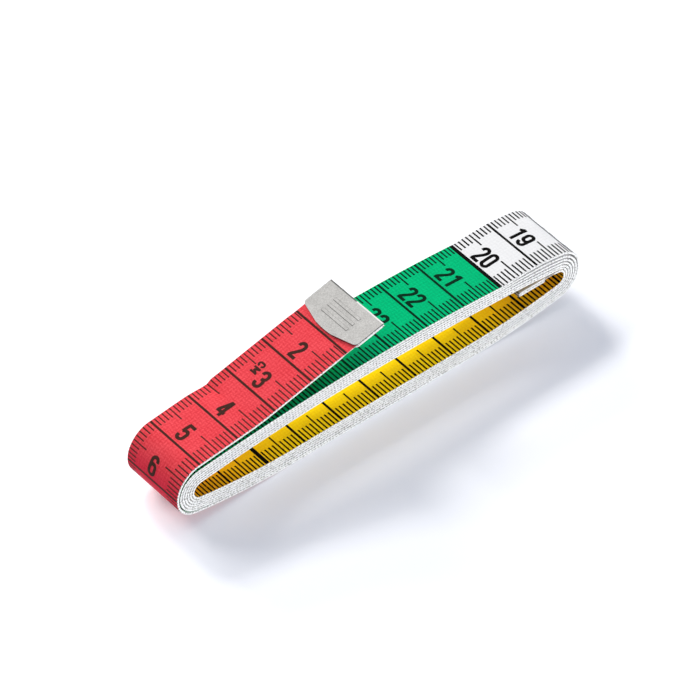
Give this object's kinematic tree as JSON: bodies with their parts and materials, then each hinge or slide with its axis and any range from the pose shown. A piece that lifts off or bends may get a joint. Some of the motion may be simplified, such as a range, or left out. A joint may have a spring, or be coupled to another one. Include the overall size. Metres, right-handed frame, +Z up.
{
  "type": "tape measure",
  "caption": "Soft cloth tape measure wound into a flat loop with an open bore, its zero end lifted off the pile, with a folded metal tip on each end.",
  "frame": {"origin": "centre of the part's box in X and Y, on the surface that the loop lies on", "axes": "+X along the loop, from the fold under the zero end to the other fold; +Y across the tape; +Z up"},
  "size_m": [0.1084, 0.0168, 0.0259],
  "materials": {
    "coated_cloth": "satin coated cloth",
    "coated_cloth_red": "satin coated cloth",
    "coated_cloth_yellow": "satin coated cloth",
    "plated_tip": "satin nickel plate"
  },
  "bodies": {
    "winding": {"tape_winding": "coated_cloth"},
    "free_end_root": {"free_end_root": "coated_cloth_red"},
    "free_end": {"free_end": "coated_cloth_red", "outer_tip": "plated_tip"},
    "inner_end": {"inner_end": "coated_cloth_yellow", "inner_tip": "plated_tip"}
  },
  "joints": [
    {"name": "free_end_lift", "type": "hinge", "parent": "winding", "child": "free_end_root", "pos_m": [-0.04828, 0, 0.01568], "axis": [0, -1, 0], "range_deg": [-3, 95], "stiffness_Nm_per_rad": 0.01, "springref_deg": 9.91},
    {"name": "free_end_crease", "type": "hinge", "parent": "free_end_root", "child": "free_end", "pos_m": [-0.03239, 0, 0.01752], "axis": [0, -1, 0], "range_deg": [-7, 60], "stiffness_Nm_per_rad": 0.01, "springref_deg": 6.3},
    {"name": "inner_end_flex", "type": "hinge", "parent": "winding", "child": "inner_end", "pos_m": [0.04799, 0, 0.01048], "axis": [0, -1, 0], "range_deg": [0, 19], "stiffness_Nm_per_rad": 0.01, "springref_deg": -1.43}
  ]
}
